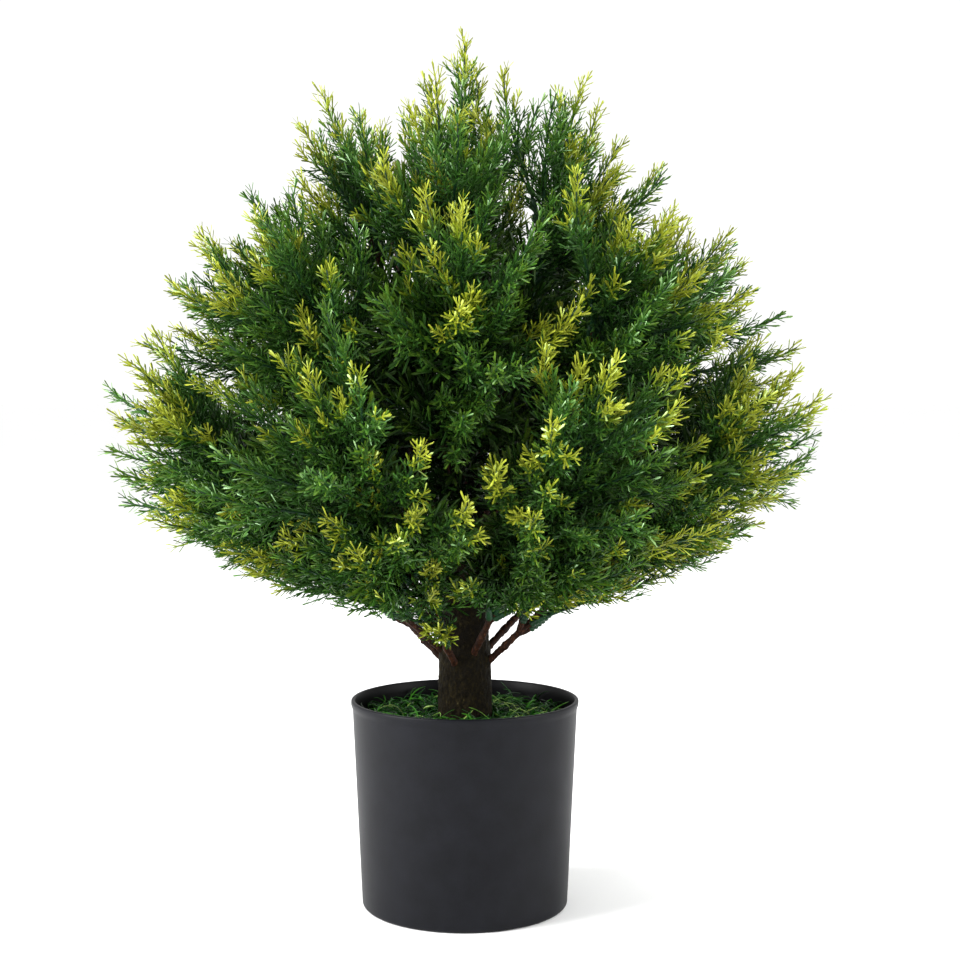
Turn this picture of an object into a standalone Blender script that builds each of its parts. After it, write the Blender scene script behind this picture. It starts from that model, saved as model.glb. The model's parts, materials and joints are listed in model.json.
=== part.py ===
"""Artificial tabletop tree: a weighted pot, a moulded trunk and plug-in branches that turn in their sockets.

Metres, +Z up. The pot's underside is at z = 0, and the trunk stands on the Z axis. Each branch is a straight
moulded stem whose peg sits in a drilled socket of the trunk. The cedar sprays that plug onto one stem are one
hollow, thin-walled solid of revolution about that stem, so the branch can turn about its own axis.
"""

import math
from dataclasses import dataclass

import bmesh
import bpy
from mathutils import Matrix

# Driving dimensions ------------------------------------------------------------------------------------------

TOTAL_HEIGHT = 0.610  # assumed; the other sizes are in proportion to it
FIT_GAP = 0.0003  # left between touching pieces

POT_HEIGHT = 0.1455
POT_WALL = 0.0016
POT_FLOOR = 0.0024
POT_FOOT_RADIUS = 0.0722  # outside of the wall at the foot
POT_TOP_RADIUS = 0.0786  # outside of the wall under the lip
POT_LIP_RADIUS = 0.0798
POT_LIP_HEIGHT = 0.0045
POT_EDGE_RADIUS = 0.0030  # rounding between wall and underside

BALLAST_TOP = 0.052
FILLER_TOP = 0.1200
GRASS_EDGE = 0.1300  # top of the grass at the pot wall
GRASS_CROWN = 0.1365  # highest part of the grass
TRUNK_FOOT = 0.018
TRUNK_TOP = 0.402
ROD_FOOT = 0.008
ROD_TOP = 0.245
ROD_RADIUS = 0.0040

SPRAY_WALL = 0.0006  # thin, to keep the hollow sprays light; a guess, as no real weight is known
NECK_SHARE = 0.16  # where the sprays start along a branch, from the trunk's axis
LEADER_ROOT = 0.375

POT_SIDES = 48
TRUNK_SIDES = 24
SOCKET_SIDES = 12
SPRAY_SIDES = 12
STEM_SIDES = 8

# Outside of the trunk: height, radius
TRUNK_TAPER = (
    (TRUNK_FOOT, 0.0190),
    (0.140, 0.0190),
    (0.165, 0.0184),
    (0.200, 0.0162),
    (0.250, 0.0136),
    (0.300, 0.0108),
    (0.350, 0.0086),
    (0.396, 0.0068),
    (TRUNK_TOP, 0.0060),
)

# Outside of a branch's sprays: share of the branch's length, share of the sprays' largest radius
SPRAY_OUTLINE = ((0.45, 0.58), (0.72, 1.0), (0.88, 1.0), (0.96, 0.72))


@dataclass
class Ring:
    """Branches that leave the trunk at one height, evenly spaced round it."""

    name: str
    count: int
    root: float  # where the branch axes cross the trunk's axis
    stagger: float  # every second branch starts this much lower, the others this much higher
    elevation: float  # degrees above level
    turn: float  # degrees from +X to the first branch
    length: float  # from the trunk's axis to the sprays' tip
    spray_radius: float
    stem_radius: float
    peg_start: float  # distance of the peg's end from the trunk's axis, along the branch


RINGS = (
    Ring("lower_branch", 8, 0.160, 0.004, 43.0, 22.5, 0.325, 0.0615, 0.0026, 0.0130),
    Ring("middle_branch", 8, 0.252, 0.0, 50.0, 0.0, 0.292, 0.0455, 0.0022, 0.0125),
    Ring("upper_branch", 6, 0.276, 0.0, 70.5, 20.0, 0.310, 0.0355, 0.0020, 0.0190),
)
LEADER = Ring(
    "leader", 1, LEADER_ROOT, 0.0, 90.0, 0.0, TOTAL_HEIGHT - LEADER_ROOT, 0.0420, 0.0022, FIT_GAP
)

# Materials: name, colour, roughness, metallic
POT_BLACK = ("pot_black", (0.022, 0.023, 0.026), 0.5, 0.0)
CEMENT = ("cement", (0.42, 0.41, 0.38), 0.9, 0.0)
FOAM = ("filler_foam", (0.20, 0.30, 0.17), 0.95, 0.0)
GRASS = ("grass_green", (0.05, 0.17, 0.03), 0.6, 0.0)
BARK = ("bark_brown", (0.075, 0.058, 0.040), 0.85, 0.0)
STEEL = ("steel", (0.55, 0.55, 0.56), 0.4, 0.9)
STEM = ("stem_brown", (0.10, 0.042, 0.022), 0.6, 0.0)
SPRAY = ("cedar_green", (0.055, 0.16, 0.040), 0.6, 0.0)


# Mesh helpers ------------------------------------------------------------------------------------------------


def clear_scene():
    for found in list(bpy.data.objects):
        bpy.data.objects.remove(found, do_unlink=True)


def material(look):
    """The Principled material of a (name, colour, roughness, metallic) look, made once."""
    name, colour, roughness, metallic = look
    found = bpy.data.materials.get(name)
    if found is None:
        found = bpy.data.materials.new(name)
        found.use_nodes = True
        shader = found.node_tree.nodes["Principled BSDF"]
        shader.inputs["Base Color"].default_value = (*colour, 1.0)
        shader.inputs["Roughness"].default_value = roughness
        shader.inputs["Metallic"].default_value = metallic
        found.diffuse_color = (*colour, 1.0)
    return found


def turned(name, outline, sides):
    """A closed solid of revolution about Z. The outline of (radius, height) points starts and ends on the axis,
    or closes on itself as a ring."""
    ring = outline[0][0] > 0
    bm = bmesh.new()
    points = [bm.verts.new((radius, 0.0, height)) for radius, height in outline]
    pairs = list(zip(points, points[1:]))
    if ring:
        pairs.append((points[-1], points[0]))
    edges = [bm.edges.new(pair) for pair in pairs]
    bmesh.ops.spin(
        bm,
        geom=points + edges,
        cent=(0, 0, 0),
        axis=(0, 0, 1),
        angle=2 * math.pi,
        steps=sides,
        use_merge=True,
        use_duplicate=False,
    )
    bmesh.ops.remove_doubles(bm, verts=bm.verts, dist=1e-6)
    bmesh.ops.recalc_face_normals(bm, faces=bm.faces)
    mesh = bpy.data.meshes.new(name)
    bm.to_mesh(mesh)
    bm.free()
    return mesh


def rod_mesh(name, radius, start, end, sides):
    return turned(name, [(0, start), (radius, start), (radius, end), (0, end)], sides)


def add(name, mesh, look, place=None):
    """Puts a mesh into the scene as one named sub-part."""
    made = bpy.data.objects.new(name, mesh)
    bpy.context.scene.collection.objects.link(made)
    if not mesh.materials:
        mesh.materials.append(material(look))
    mesh.shade_smooth()
    mesh.set_sharp_from_angle(angle=math.radians(35))
    if place is not None:
        made.matrix_world = place
    return made


def helper(name, mesh, place):
    """A shape that another object's Boolean uses, and that isn't part of the model."""
    made = bpy.data.objects.new(name, mesh)
    bpy.context.scene.collection.objects.link(made)
    made.hide_render = True
    made.display_type = "WIRE"
    made.matrix_world = place
    return made


def combine(target, tool, operation):
    change = target.modifiers.new(operation.lower() + "_" + tool.name, "BOOLEAN")
    change.operation = operation
    change.solver = "EXACT"
    change.object = tool


def radius_across_flats(radius, sides):
    """Corner radius of a regular polygon whose flats are at least this radius from its centre."""
    return radius / math.cos(math.pi / sides)


# Sizes that follow from the driving dimensions ---------------------------------------------------------------


def between(table, at):
    """Straight-line reading of a table of (place, value) pairs."""
    for (low, first), (high, second) in zip(table, table[1:]):
        if at <= high:
            return first + (second - first) * (at - low) / (high - low)
    return table[-1][1]


def pot_outside(height):
    share = (height - POT_EDGE_RADIUS) / (POT_HEIGHT - POT_LIP_HEIGHT - POT_EDGE_RADIUS)
    return POT_FOOT_RADIUS + (POT_TOP_RADIUS - POT_FOOT_RADIUS) * share


def inside_pot(height):
    """Radius of a filling that stays clear of the pot's wall."""
    return pot_outside(height) - POT_WALL - FIT_GAP


def bark_distance(ring):
    """Distance along a branch from the trunk's axis to where the branch's axis leaves the bark."""
    slope = math.radians(ring.elevation)
    distance = 0.0
    for _ in range(30):
        height = ring.root + distance * math.sin(slope)
        distance = between(TRUNK_TAPER, height) / math.cos(slope)
    return distance


def collar_start(ring):
    """Distance along a branch at which its first, thicker collar clears the bark."""
    if ring is LEADER:
        return TRUNK_TOP - ring.root + 0.003
    collar = 1.35 * ring.stem_radius
    slope = math.radians(ring.elevation)
    return bark_distance(ring) + collar * math.tan(slope) + 0.001


def branch_place(ring, number):
    """Where a branch's own frame stands: its origin on the trunk's axis, its +Z along the branch."""
    high_or_low = ring.stagger if number % 2 == 0 else -ring.stagger
    root = Matrix.Translation((0, 0, ring.root + high_or_low))
    round_trunk = Matrix.Rotation(math.radians(ring.turn + 360 * number / ring.count), 4, "Z")
    lean = Matrix.Rotation(math.radians(90 - ring.elevation), 4, "Y")
    return root @ round_trunk @ lean


# Pot and what fills it ---------------------------------------------------------------------------------------


def make_pot():
    edge = [
        (
            POT_FOOT_RADIUS - POT_EDGE_RADIUS * (1 - math.sin(angle)),
            POT_EDGE_RADIUS * (1 - math.cos(angle)),
        )
        for angle in (0, math.pi / 6, math.pi / 3, math.pi / 2)
    ]
    under_lip = POT_HEIGHT - POT_LIP_HEIGHT
    outline = [
        (0, 0),
        *edge,
        (POT_TOP_RADIUS, under_lip),
        (POT_LIP_RADIUS, under_lip + 0.0004),
        (POT_LIP_RADIUS, POT_HEIGHT - 0.0006),
        (POT_LIP_RADIUS - 0.0006, POT_HEIGHT),
        (POT_TOP_RADIUS - POT_WALL + 0.0006, POT_HEIGHT),
        (POT_TOP_RADIUS - POT_WALL, POT_HEIGHT - 0.0006),
        (POT_TOP_RADIUS - POT_WALL, under_lip),
        (pot_outside(POT_EDGE_RADIUS) - POT_WALL, POT_EDGE_RADIUS),
        (POT_FOOT_RADIUS - POT_WALL - 0.0010, POT_FLOOR),
        (0, POT_FLOOR),
    ]
    add("pot", turned("pot", outline, POT_SIDES), POT_BLACK)


def make_ballast():
    bottom = POT_FLOOR + FIT_GAP
    rod_hole = radius_across_flats(ROD_RADIUS + FIT_GAP, POT_SIDES)
    trunk_hole = radius_across_flats(TRUNK_TAPER[0][1] + FIT_GAP, POT_SIDES)
    trunk_seat = TRUNK_FOOT - FIT_GAP
    rod_seat = ROD_FOOT - FIT_GAP
    chamfer = 0.0030
    outline = [
        (0, bottom),
        (inside_pot(bottom) - chamfer, bottom),
        (inside_pot(bottom + chamfer) - 0.0004, bottom + chamfer),
        (inside_pot(BALLAST_TOP) - 0.0004, BALLAST_TOP),
        (trunk_hole, BALLAST_TOP),
        (trunk_hole, trunk_seat),
        (rod_hole, trunk_seat),
        (rod_hole, rod_seat),
        (0, rod_seat),
    ]
    add("ballast", turned("ballast", outline, POT_SIDES), CEMENT)


def make_filler():
    bottom = BALLAST_TOP + FIT_GAP
    hole = radius_across_flats(TRUNK_TAPER[0][1] + FIT_GAP, POT_SIDES)
    outline = [
        (hole, bottom),
        (inside_pot(bottom) - 0.0004, bottom),
        (inside_pot(FILLER_TOP) - 0.0004, FILLER_TOP),
        (hole, FILLER_TOP),
    ]
    add("filler_foam", turned("filler_foam", outline, POT_SIDES), FOAM)


def make_grass():
    bottom = FILLER_TOP + FIT_GAP
    hole = radius_across_flats(TRUNK_TAPER[1][1] + FIT_GAP, POT_SIDES)
    wall = inside_pot(bottom) - 0.0004
    mound = (
        (0.0, GRASS_CROWN - 0.0020),
        (0.35, GRASS_CROWN),
        (0.75, GRASS_CROWN - 0.0020),
        (1.0, GRASS_EDGE),
    )
    top = [(hole + (wall - hole) * share, height) for share, height in reversed(mound)]
    outline = [(hole, bottom), (wall, bottom), *top]
    add("grass_mat", turned("grass_mat", outline, POT_SIDES), GRASS)


# Trunk -------------------------------------------------------------------------------------------------------


def make_core_rod():
    add("core_rod", rod_mesh("core_rod", ROD_RADIUS, ROD_FOOT, ROD_TOP, 16), STEEL)


def make_trunk():
    """The tapered trunk, bored for the steel rod from below and for the leader from above."""
    rod_bore = radius_across_flats(ROD_RADIUS + FIT_GAP, TRUNK_SIDES)
    leader_bore = radius_across_flats(LEADER.stem_radius + FIT_GAP, TRUNK_SIDES)
    outline = [
        (0, ROD_TOP + FIT_GAP),
        (rod_bore, ROD_TOP + FIT_GAP),
        (rod_bore, TRUNK_FOOT),
        *[(radius, height) for height, radius in TRUNK_TAPER],
        (leader_bore, TRUNK_TOP),
        (leader_bore, LEADER.root),
        (0, LEADER.root),
    ]
    trunk = add("trunk", turned("trunk", outline, TRUNK_SIDES), BARK)
    for ring in RINGS:
        bore = radius_across_flats(ring.stem_radius + FIT_GAP, SOCKET_SIDES)
        start = ring.peg_start - FIT_GAP
        drill = rod_mesh(ring.name + "_drill", bore, start, 0.080, SOCKET_SIDES)
        for number in range(ring.count):
            tool = helper(f"{ring.name}_{number + 1}_drill", drill, branch_place(ring, number))
            combine(trunk, tool, "DIFFERENCE")


# Branches ----------------------------------------------------------------------------------------------------


def stem_outline(ring):
    """A peg, then a shaft that thins outwards between moulded collars."""
    thick = ring.stem_radius
    thin = 0.72 * ring.stem_radius
    first = collar_start(ring)
    last = 0.66 * ring.length
    collars = 3
    step = (last - first) / collars
    outline = [(0, ring.peg_start), (thick, ring.peg_start)]
    for number in range(collars):
        start = first + number * step
        radius = thick + (thin - thick) * number / collars
        outline += [(radius, start), (1.35 * radius, start + 0.0015), (radius, start + 0.0060)]
    outline += [(thin, last), (0, last)]
    return outline


def stem_mesh(ring):
    """The stem with its side pegs, each of which carries a spray of its own."""
    shaft = helper(
        ring.name + "_shaft", turned(ring.name + "_shaft", stem_outline(ring), STEM_SIDES), Matrix()
    )
    peg_length = 0.2 * ring.spray_radius + 0.004
    peg = rod_mesh(ring.name + "_side_peg", 0.62 * ring.stem_radius, 0.0, peg_length, 6)
    for number, share in enumerate((0.30, 0.42, 0.54)):
        along = Matrix.Translation((0, 0, share * ring.length))
        about = Matrix.Rotation(math.radians(40 + 120 * number), 4, "Z")
        out = Matrix.Rotation(math.radians(40), 4, "Y")
        combine(shaft, helper(f"{ring.name}_side_peg_{number}", peg, along @ about @ out), "UNION")
    result = shaft.evaluated_get(bpy.context.evaluated_depsgraph_get())
    return bpy.data.meshes.new_from_object(result)


def spray_mesh(ring):
    """The outer shape of all the sprays on one stem: a thin club, hollow, open where the stem goes in."""
    neck_inside = radius_across_flats(ring.stem_radius + 2 * FIT_GAP, SPRAY_SIDES)
    neck = NECK_SHARE * ring.length
    outside = [(share * ring.spray_radius, along * ring.length) for along, share in SPRAY_OUTLINE]
    inside = [(radius - SPRAY_WALL, height - SPRAY_WALL) for radius, height in outside]
    outline = [
        (0, ring.length - SPRAY_WALL),
        *reversed(inside),
        (neck_inside, neck),
        (neck_inside + SPRAY_WALL, neck),
        *outside,
        (0, ring.length),
    ]
    return turned(ring.name + "_foliage", outline, SPRAY_SIDES)


def make_branches(ring):
    stem = stem_mesh(ring)
    sprays = spray_mesh(ring)
    for number in range(ring.count):
        name = ring.name if ring.count == 1 else f"{ring.name}_{number + 1}"
        place = branch_place(ring, number)
        add(name + "_stem", stem, STEM, place)
        add(name + "_foliage", sprays, SPRAY, place)


def main():
    clear_scene()
    make_pot()
    make_ballast()
    make_filler()
    make_grass()
    make_core_rod()
    make_trunk()
    for ring in (*RINGS, LEADER):
        make_branches(ring)


main()
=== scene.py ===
"""Looks of the artificial tabletop tree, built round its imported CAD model.

The CAD gives every place: the pot, the trunk, and for each branch the hinge's point and axis. This script
turns the plain CAD solids into a moulded pot, shredded grass, bark, stems with sleeves, and cedar sprays with
a mesh for every needle.
"""

import json
import math
from dataclasses import dataclass, field

import bpy
import numpy as np
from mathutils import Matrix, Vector, noise


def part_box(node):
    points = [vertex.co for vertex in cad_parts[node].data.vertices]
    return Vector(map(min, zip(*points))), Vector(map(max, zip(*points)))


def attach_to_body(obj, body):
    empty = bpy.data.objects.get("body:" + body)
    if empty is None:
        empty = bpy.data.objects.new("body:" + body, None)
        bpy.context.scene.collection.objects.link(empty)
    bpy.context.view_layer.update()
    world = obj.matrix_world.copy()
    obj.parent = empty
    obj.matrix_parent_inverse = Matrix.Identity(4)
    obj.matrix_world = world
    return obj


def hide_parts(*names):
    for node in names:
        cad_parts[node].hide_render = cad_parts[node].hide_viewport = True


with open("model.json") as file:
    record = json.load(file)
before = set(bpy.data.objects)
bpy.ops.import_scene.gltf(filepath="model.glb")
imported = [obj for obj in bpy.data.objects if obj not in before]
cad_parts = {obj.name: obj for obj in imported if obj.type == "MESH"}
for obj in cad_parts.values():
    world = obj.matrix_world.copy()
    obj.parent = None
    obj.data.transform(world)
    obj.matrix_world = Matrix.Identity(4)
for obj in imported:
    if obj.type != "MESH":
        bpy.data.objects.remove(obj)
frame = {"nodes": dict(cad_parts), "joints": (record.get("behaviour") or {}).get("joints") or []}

SEED = 23

# Crown, in metres and degrees -----------------------------------------------------------------------------

CROWN_CENTRE = np.array((0.0, 0.0, 0.271))
SPRAY_ORIGIN = np.array((0.0, 0.0, 0.165))  # the point that sprays point away from
CROWN_OUTLINE = (  # degrees above level, reach of the longest sprays from the crown's centre
    (-30, 0.124),
    (-12, 0.184),
    (0, 0.226),
    (10, 0.258),
    (25, 0.266),
    (40, 0.268),
    (60, 0.286),
    (75, 0.308),
    (90, 0.322),
)
LOWEST_SPRAY = -24
LOWEST_INNER_SPRAY = -14
OUTER_SPRAYS = 310
INNER_SPRAYS = 260
SPRAY_GAP = 0.020  # least distance of an outer spray's tip from a branch's own
STEM_BEND = 0.36  # share of a spray's length over which its stem turns at each end
LOW_SPRAYS = 3  # on each branch that leaves the trunk below LOW_BRANCHES_BELOW
LOW_BRANCHES_BELOW = 0.20
FRONT_SPRAY = (math.radians(-104), 0.074, 0.204)  # azimuth, reach and height of its tip
INNER_COARSENESS = 1.8  # size of the needles and twigs of the inner sprays beside the outer ones
FIRST_PEG = 0.036  # from the bark to the first side spray, along a stem
LAST_PEG = 0.004  # from the last side spray to the stem's end
YELLOW_STARTS = (0.62, 0.76, 0.88, 1.3)  # share of the way to its tips past which an outer spray is yellow
YELLOW_CHANCES = (0.18, 0.26, 0.24, 0.32)
NEVER_YELLOW = 1.4

UNDERSIDE = 0.216  # height of the crown's flat underside round the trunk
UNDERSIDE_FLAT = 0.112  # reach of the flat part
UNDERSIDE_SLOPE = 0.50

TWIG_LENGTH = 0.0165
TWIG_STEP = 0.0036  # along a shoot, between one twig and the next
TWIG_RADIUS = 0.00055
TWIG_CURL = 0.35  # how far a twig bends towards the way its shoot grows
TWIG_ANGLES = (46, 24)  # from its shoot, in degrees, at the shoot's root and at its tip
NEEDLE_LENGTH = 0.0076
NEEDLE_WIDTH = 0.0012
NEEDLE_STEP = 0.0042  # along a twig, between one pair of needles and the next
NEEDLE_ANGLES = (42, 30)  # from its twig, in degrees, at the twig's root and at its tip
NEEDLE_SHOULDER = 0.82  # share of a needle's length at which its tip starts to narrow
NEEDLE_CORNERS = ((0.0, 0.62), (-1.0, -0.30), (1.0, -0.30))  # cross-section, in half widths
NEEDLE_FACES = ((0, 2, 1), (3, 4, 5), (0, 1, 4), (0, 4, 3), (1, 2, 5), (1, 5, 4), (2, 0, 3), (2, 3, 5))
YELLOW_PIECE_FROM = 0.56  # tone from which a needle belongs to the tips' own piece
SLEEVE_RIB = 0.0027
SLEEVES_SEEN_BELOW = 0.235  # height under which a sleeve may show
SLEEVE_RIBS = (0.0018, 0.0026, 0.0027)  # radii over one rib
SHOOT_RADII = (0.0019, 0.0016)  # of a spray's brown stem, at the branch and at its sleeve
SHOOT_CORE = (0.0011, 0.0005)  # radii of the thin stem past the sleeve
KNOB_SPACING = 0.034  # along a branch, between its swellings
KNOB_LENGTH = 0.0018
KNOB_SWELL = 0.28
GOLDEN_ANGLE = math.radians(137.508)
ANY_ROLL = 6.28  # range of a random roll: a full turn, near enough

BARK_SEEN_BELOW = 0.25  # height under which the bark is finely meshed
BARK_SIDES = 150
# painted shade: colour factor of the pot's inner wall
POT_INSIDE_SHADE = 0.2
GRASS_BLADES = 3400
BLADE_LENGTH = 0.022
BLADE_WIDTH = 0.0013
BLADE_THICKNESS = 0.00018

rng = np.random.default_rng(SEED)


# Small vector helpers -------------------------------------------------------------------------------------


def unit(vectors):
    return vectors / np.maximum(np.linalg.norm(vectors, axis=-1, keepdims=True), 1e-12)


def between(table, at):
    places, values = zip(*table)
    return np.interp(at, places, values)


def across(directions):
    """A unit vector square to each direction."""
    directions = np.atleast_2d(directions)
    up = np.where(np.abs(directions[:, 2:3]) > 0.9, (1.0, 0.0, 0.0), (0.0, 0.0, 1.0))
    return unit(np.cross(directions, up))


def turned(vectors, axes, angles):
    """Vectors turned about unit axes, one angle in radians for each."""
    cos, sin = np.cos(angles)[:, None], np.sin(angles)[:, None]
    along = np.sum(vectors * axes, axis=1, keepdims=True)
    return vectors * cos + np.cross(axes, vectors) * sin + axes * along * (1 - cos)


def bezier(points, steps):
    """Places and unit directions along a cubic curve."""
    t = np.linspace(0, 1, steps)[:, None]
    a, b, c, d = (np.asarray(p, float) for p in points)
    places = a * (1 - t) ** 3 + 3 * b * t * (1 - t) ** 2 + 3 * c * t**2 * (1 - t) + d * t**3
    slopes = 3 * (b - a) * (1 - t) ** 2 + 6 * (c - b) * t * (1 - t) + 3 * (d - c) * t**2
    return places, unit(slopes)


# Mesh building --------------------------------------------------------------------------------------------


class Soup:
    """Closed shapes gathered as triangles for one piece, with a tone and a shade at each point."""

    def __init__(self):
        self.points, self.triangles, self.slots, self.tones, self.shades = [], [], [], [], []
        self.size = 0

    def add(self, points, triangles, slot=0, tone=0.5, shade=1.0):
        self.points.append(points)
        self.triangles.append(triangles + self.size)
        self.slots.append(np.full(len(triangles), slot))
        self.tones.append(np.broadcast_to(tone, len(points)))
        self.shades.append(np.broadcast_to(shade, len(points)))
        self.size += len(points)

    def piece(self, name, looks, smooth=True):
        points = np.concatenate(self.points)
        triangles = np.concatenate(self.triangles)
        mesh = bpy.data.meshes.new(name)
        mesh.vertices.add(len(points))
        mesh.vertices.foreach_set("co", points.ravel().astype(np.float32))
        mesh.loops.add(triangles.size)
        mesh.loops.foreach_set("vertex_index", triangles.ravel().astype(np.int32))
        mesh.polygons.add(len(triangles))
        mesh.polygons.foreach_set("loop_start", np.arange(0, triangles.size, 3, dtype=np.int32))
        for look in looks:
            mesh.materials.append(look)
        mesh.polygons.foreach_set("material_index", np.concatenate(self.slots).astype(np.int32))
        mesh.update(calc_edges=True)
        for label, values in (("tone", self.tones), ("shade", self.shades)):
            layer = mesh.attributes.new(label, "FLOAT", "POINT")
            layer.data.foreach_set("value", np.concatenate(values).astype(np.float32))
        mesh.shade_smooth() if smooth else mesh.shade_flat()
        made = bpy.data.objects.new(name, mesh)
        bpy.context.scene.collection.objects.link(made)
        return made


def tube(places, directions, radii, sides, turn=0.0):
    """A closed tube along a path. The radii are one for each place, or one for each place and side."""
    steps = len(places)
    side = np.empty((steps, 3))
    side[0] = across(directions[0])[0]
    for i in range(1, steps):
        flat = side[i - 1] - directions[i] * np.dot(side[i - 1], directions[i])
        side[i] = flat / np.linalg.norm(flat)
    other = np.cross(directions, side)
    angles = turn + np.arange(sides) * 2 * math.pi / sides
    radii = np.asarray(radii, float)
    radii = np.broadcast_to(radii[:, None] if radii.ndim == 1 else radii, (steps, sides))
    rings = places[:, None] + radii[..., None] * (
        np.cos(angles)[None, :, None] * side[:, None] + np.sin(angles)[None, :, None] * other[:, None]
    )
    points = np.concatenate([rings.reshape(-1, 3), places[:1], places[-1:]])
    return points, tube_triangles(steps, sides)


def tube_triangles(steps, sides):
    i, j = np.meshgrid(np.arange(steps - 1), np.arange(sides), indexing="ij")
    a = (i * sides + j).ravel()
    b = (i * sides + (j + 1) % sides).ravel()
    c, d = a + sides, b + sides
    k = np.arange(sides)
    first, last = steps * sides, steps * sides + 1
    start = np.stack([np.full(sides, first), (k + 1) % sides, k], axis=1)
    top = (steps - 1) * sides
    end = np.stack([np.full(sides, last), top + k, top + (k + 1) % sides], axis=1)
    return np.concatenate([np.stack([a, b, d], axis=1), np.stack([a, d, c], axis=1), start, end])


def lathe(outline, sides):
    """Points and triangles of a turned shape. Its (radius, height) outline starts and ends on the axis."""
    middle = np.array(outline[1:-1], float)
    angles = np.arange(sides) * 2 * math.pi / sides
    ring = np.stack([np.cos(angles), np.sin(angles)], axis=1)
    xy = middle[:, None, :1] * ring[None]
    z = np.broadcast_to(middle[:, None, 1:], (len(middle), sides, 1))
    points = np.concatenate([xy, z], axis=2).reshape(-1, 3)
    ends = np.array([(0, 0, outline[0][1]), (0, 0, outline[-1][1])], float)
    return np.concatenate([points, ends]), tube_triangles(len(middle), sides)


# Materials ------------------------------------------------------------------------------------------------


def linear(red, green, blue):
    """A colour picked as 0 to 255 screen values, as the shader wants it."""
    values = [c / 255 for c in (red, green, blue)]
    return tuple(c / 12.92 if c <= 0.04045 else ((c + 0.055) / 1.055) ** 2.4 for c in values)


class Look:
    """One procedural material, with short calls for the nodes used here."""

    def __init__(self, name):
        self.material = bpy.data.materials.new(name)
        self.material.use_nodes = True
        self.tree = self.material.node_tree
        self.shader = self.tree.nodes["Principled BSDF"]
        self.where = self.tree.nodes.new("ShaderNodeTexCoord").outputs["Object"]

    def node(self, kind, **settings):
        made = self.tree.nodes.new(kind)
        for key, value in settings.items():
            setattr(made, key, value)
        return made

    def link(self, source, target):
        self.tree.links.new(source, target)

    def noise(self, scale, detail=3.0, roughness=0.55, stretch=(1, 1, 1)):
        mapping = self.node("ShaderNodeMapping")
        mapping.inputs["Scale"].default_value = stretch
        self.link(self.where, mapping.inputs["Vector"])
        made = self.node("ShaderNodeTexNoise")
        made.inputs["Scale"].default_value = scale
        made.inputs["Detail"].default_value = detail
        made.inputs["Roughness"].default_value = roughness
        self.link(mapping.outputs["Vector"], made.inputs["Vector"])
        return made.outputs["Fac"]

    def attribute(self, name):
        return self.node("ShaderNodeAttribute", attribute_name=name).outputs["Fac"]

    def maths(self, operation, *values):
        made = self.node("ShaderNodeMath", operation=operation)
        for socket, value in zip(made.inputs, values):
            if isinstance(value, (int, float)):
                socket.default_value = value
            else:
                self.link(value, socket)
        return made.outputs["Value"]

    def ramp(self, source, stops):
        made = self.node("ShaderNodeValToRGB")
        elements = made.color_ramp.elements
        while len(elements) < len(stops):
            elements.new(0.5)
        for element, (place, colour) in zip(elements, stops):
            element.position = place
            element.color = (*colour, 1.0)
        self.link(source, made.inputs["Fac"])
        return made.outputs["Color"]

    def spread(self, source, low, high):
        """A 0 to 1 value, moved to run from low to high."""
        made = self.node("ShaderNodeMapRange")
        made.inputs["To Min"].default_value = low
        made.inputs["To Max"].default_value = high
        self.link(source, made.inputs["Value"])
        return made.outputs["Result"]

    def scaled(self, colour, factor):
        """A colour made lighter or darker by a value."""
        made = self.node("ShaderNodeVectorMath", operation="SCALE")
        self.link(colour, made.inputs["Vector"])
        self.link(factor, made.inputs["Scale"])
        return made.outputs["Vector"]

    def mixed(self, colour, other, factor):
        """A colour turned towards another by a value, which is held between 0 and 1."""
        made = self.node("ShaderNodeMixRGB", use_clamp=False)
        made.inputs["Color2"].default_value = (*other, 1.0)
        self.link(self.maths("MAXIMUM", self.maths("MINIMUM", factor, 1.0), 0.0), made.inputs["Fac"])
        self.link(colour, made.inputs["Color1"])
        return made.outputs["Color"]

    def colour(self, source):
        self.link(source, self.shader.inputs["Base Color"])

    def roughness(self, source):
        self.link(source, self.shader.inputs["Roughness"])

    def bump(self, height, distance, strength=1.0):
        made = self.node("ShaderNodeBump")
        made.inputs["Distance"].default_value = distance
        made.inputs["Strength"].default_value = strength
        self.link(height, made.inputs["Height"])
        self.link(made.outputs["Normal"], self.shader.inputs["Normal"])


def needle_look():
    """Dyed soft plastic: bluish green inside the crown, olive and yellow where a spray ends; the shade
    attribute adds painted shade and light, and turns the brightest needles pale as painted glints.
    """
    look = Look("cedar_needles")
    drift = look.maths("MULTIPLY_ADD", look.noise(38.0), 0.34, -0.17)
    tone = look.maths("ADD", look.attribute("tone"), drift)
    dye = look.ramp(
        tone,
        (
            (0.00, linear(26, 58, 22)),
            (0.28, linear(50, 90, 28)),
            (0.50, linear(80, 108, 22)),
            (0.74, linear(116, 130, 20)),
            (1.00, linear(146, 154, 44)),
        ),
    )
    shade = look.attribute("shade")
    # Painted glints: needles whose shade passes about 1.36 are turned towards a pale whitish green.
    painted_glint = look.mixed(dye, linear(146, 174, 136), look.maths("MULTIPLY_ADD", shade, 0.7, -0.95))
    # The shade attribute scales the colour: painted shade inside the crown, painted light at its outline.
    look.colour(look.scaled(painted_glint, shade))
    look.roughness(look.spread(look.noise(420.0, 2.0), 0.30, 0.48))
    look.bump(look.noise(2400.0, 2.0), 0.00005)
    look.shader.inputs["Specular IOR Level"].default_value = 0.16
    return look.material


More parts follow.
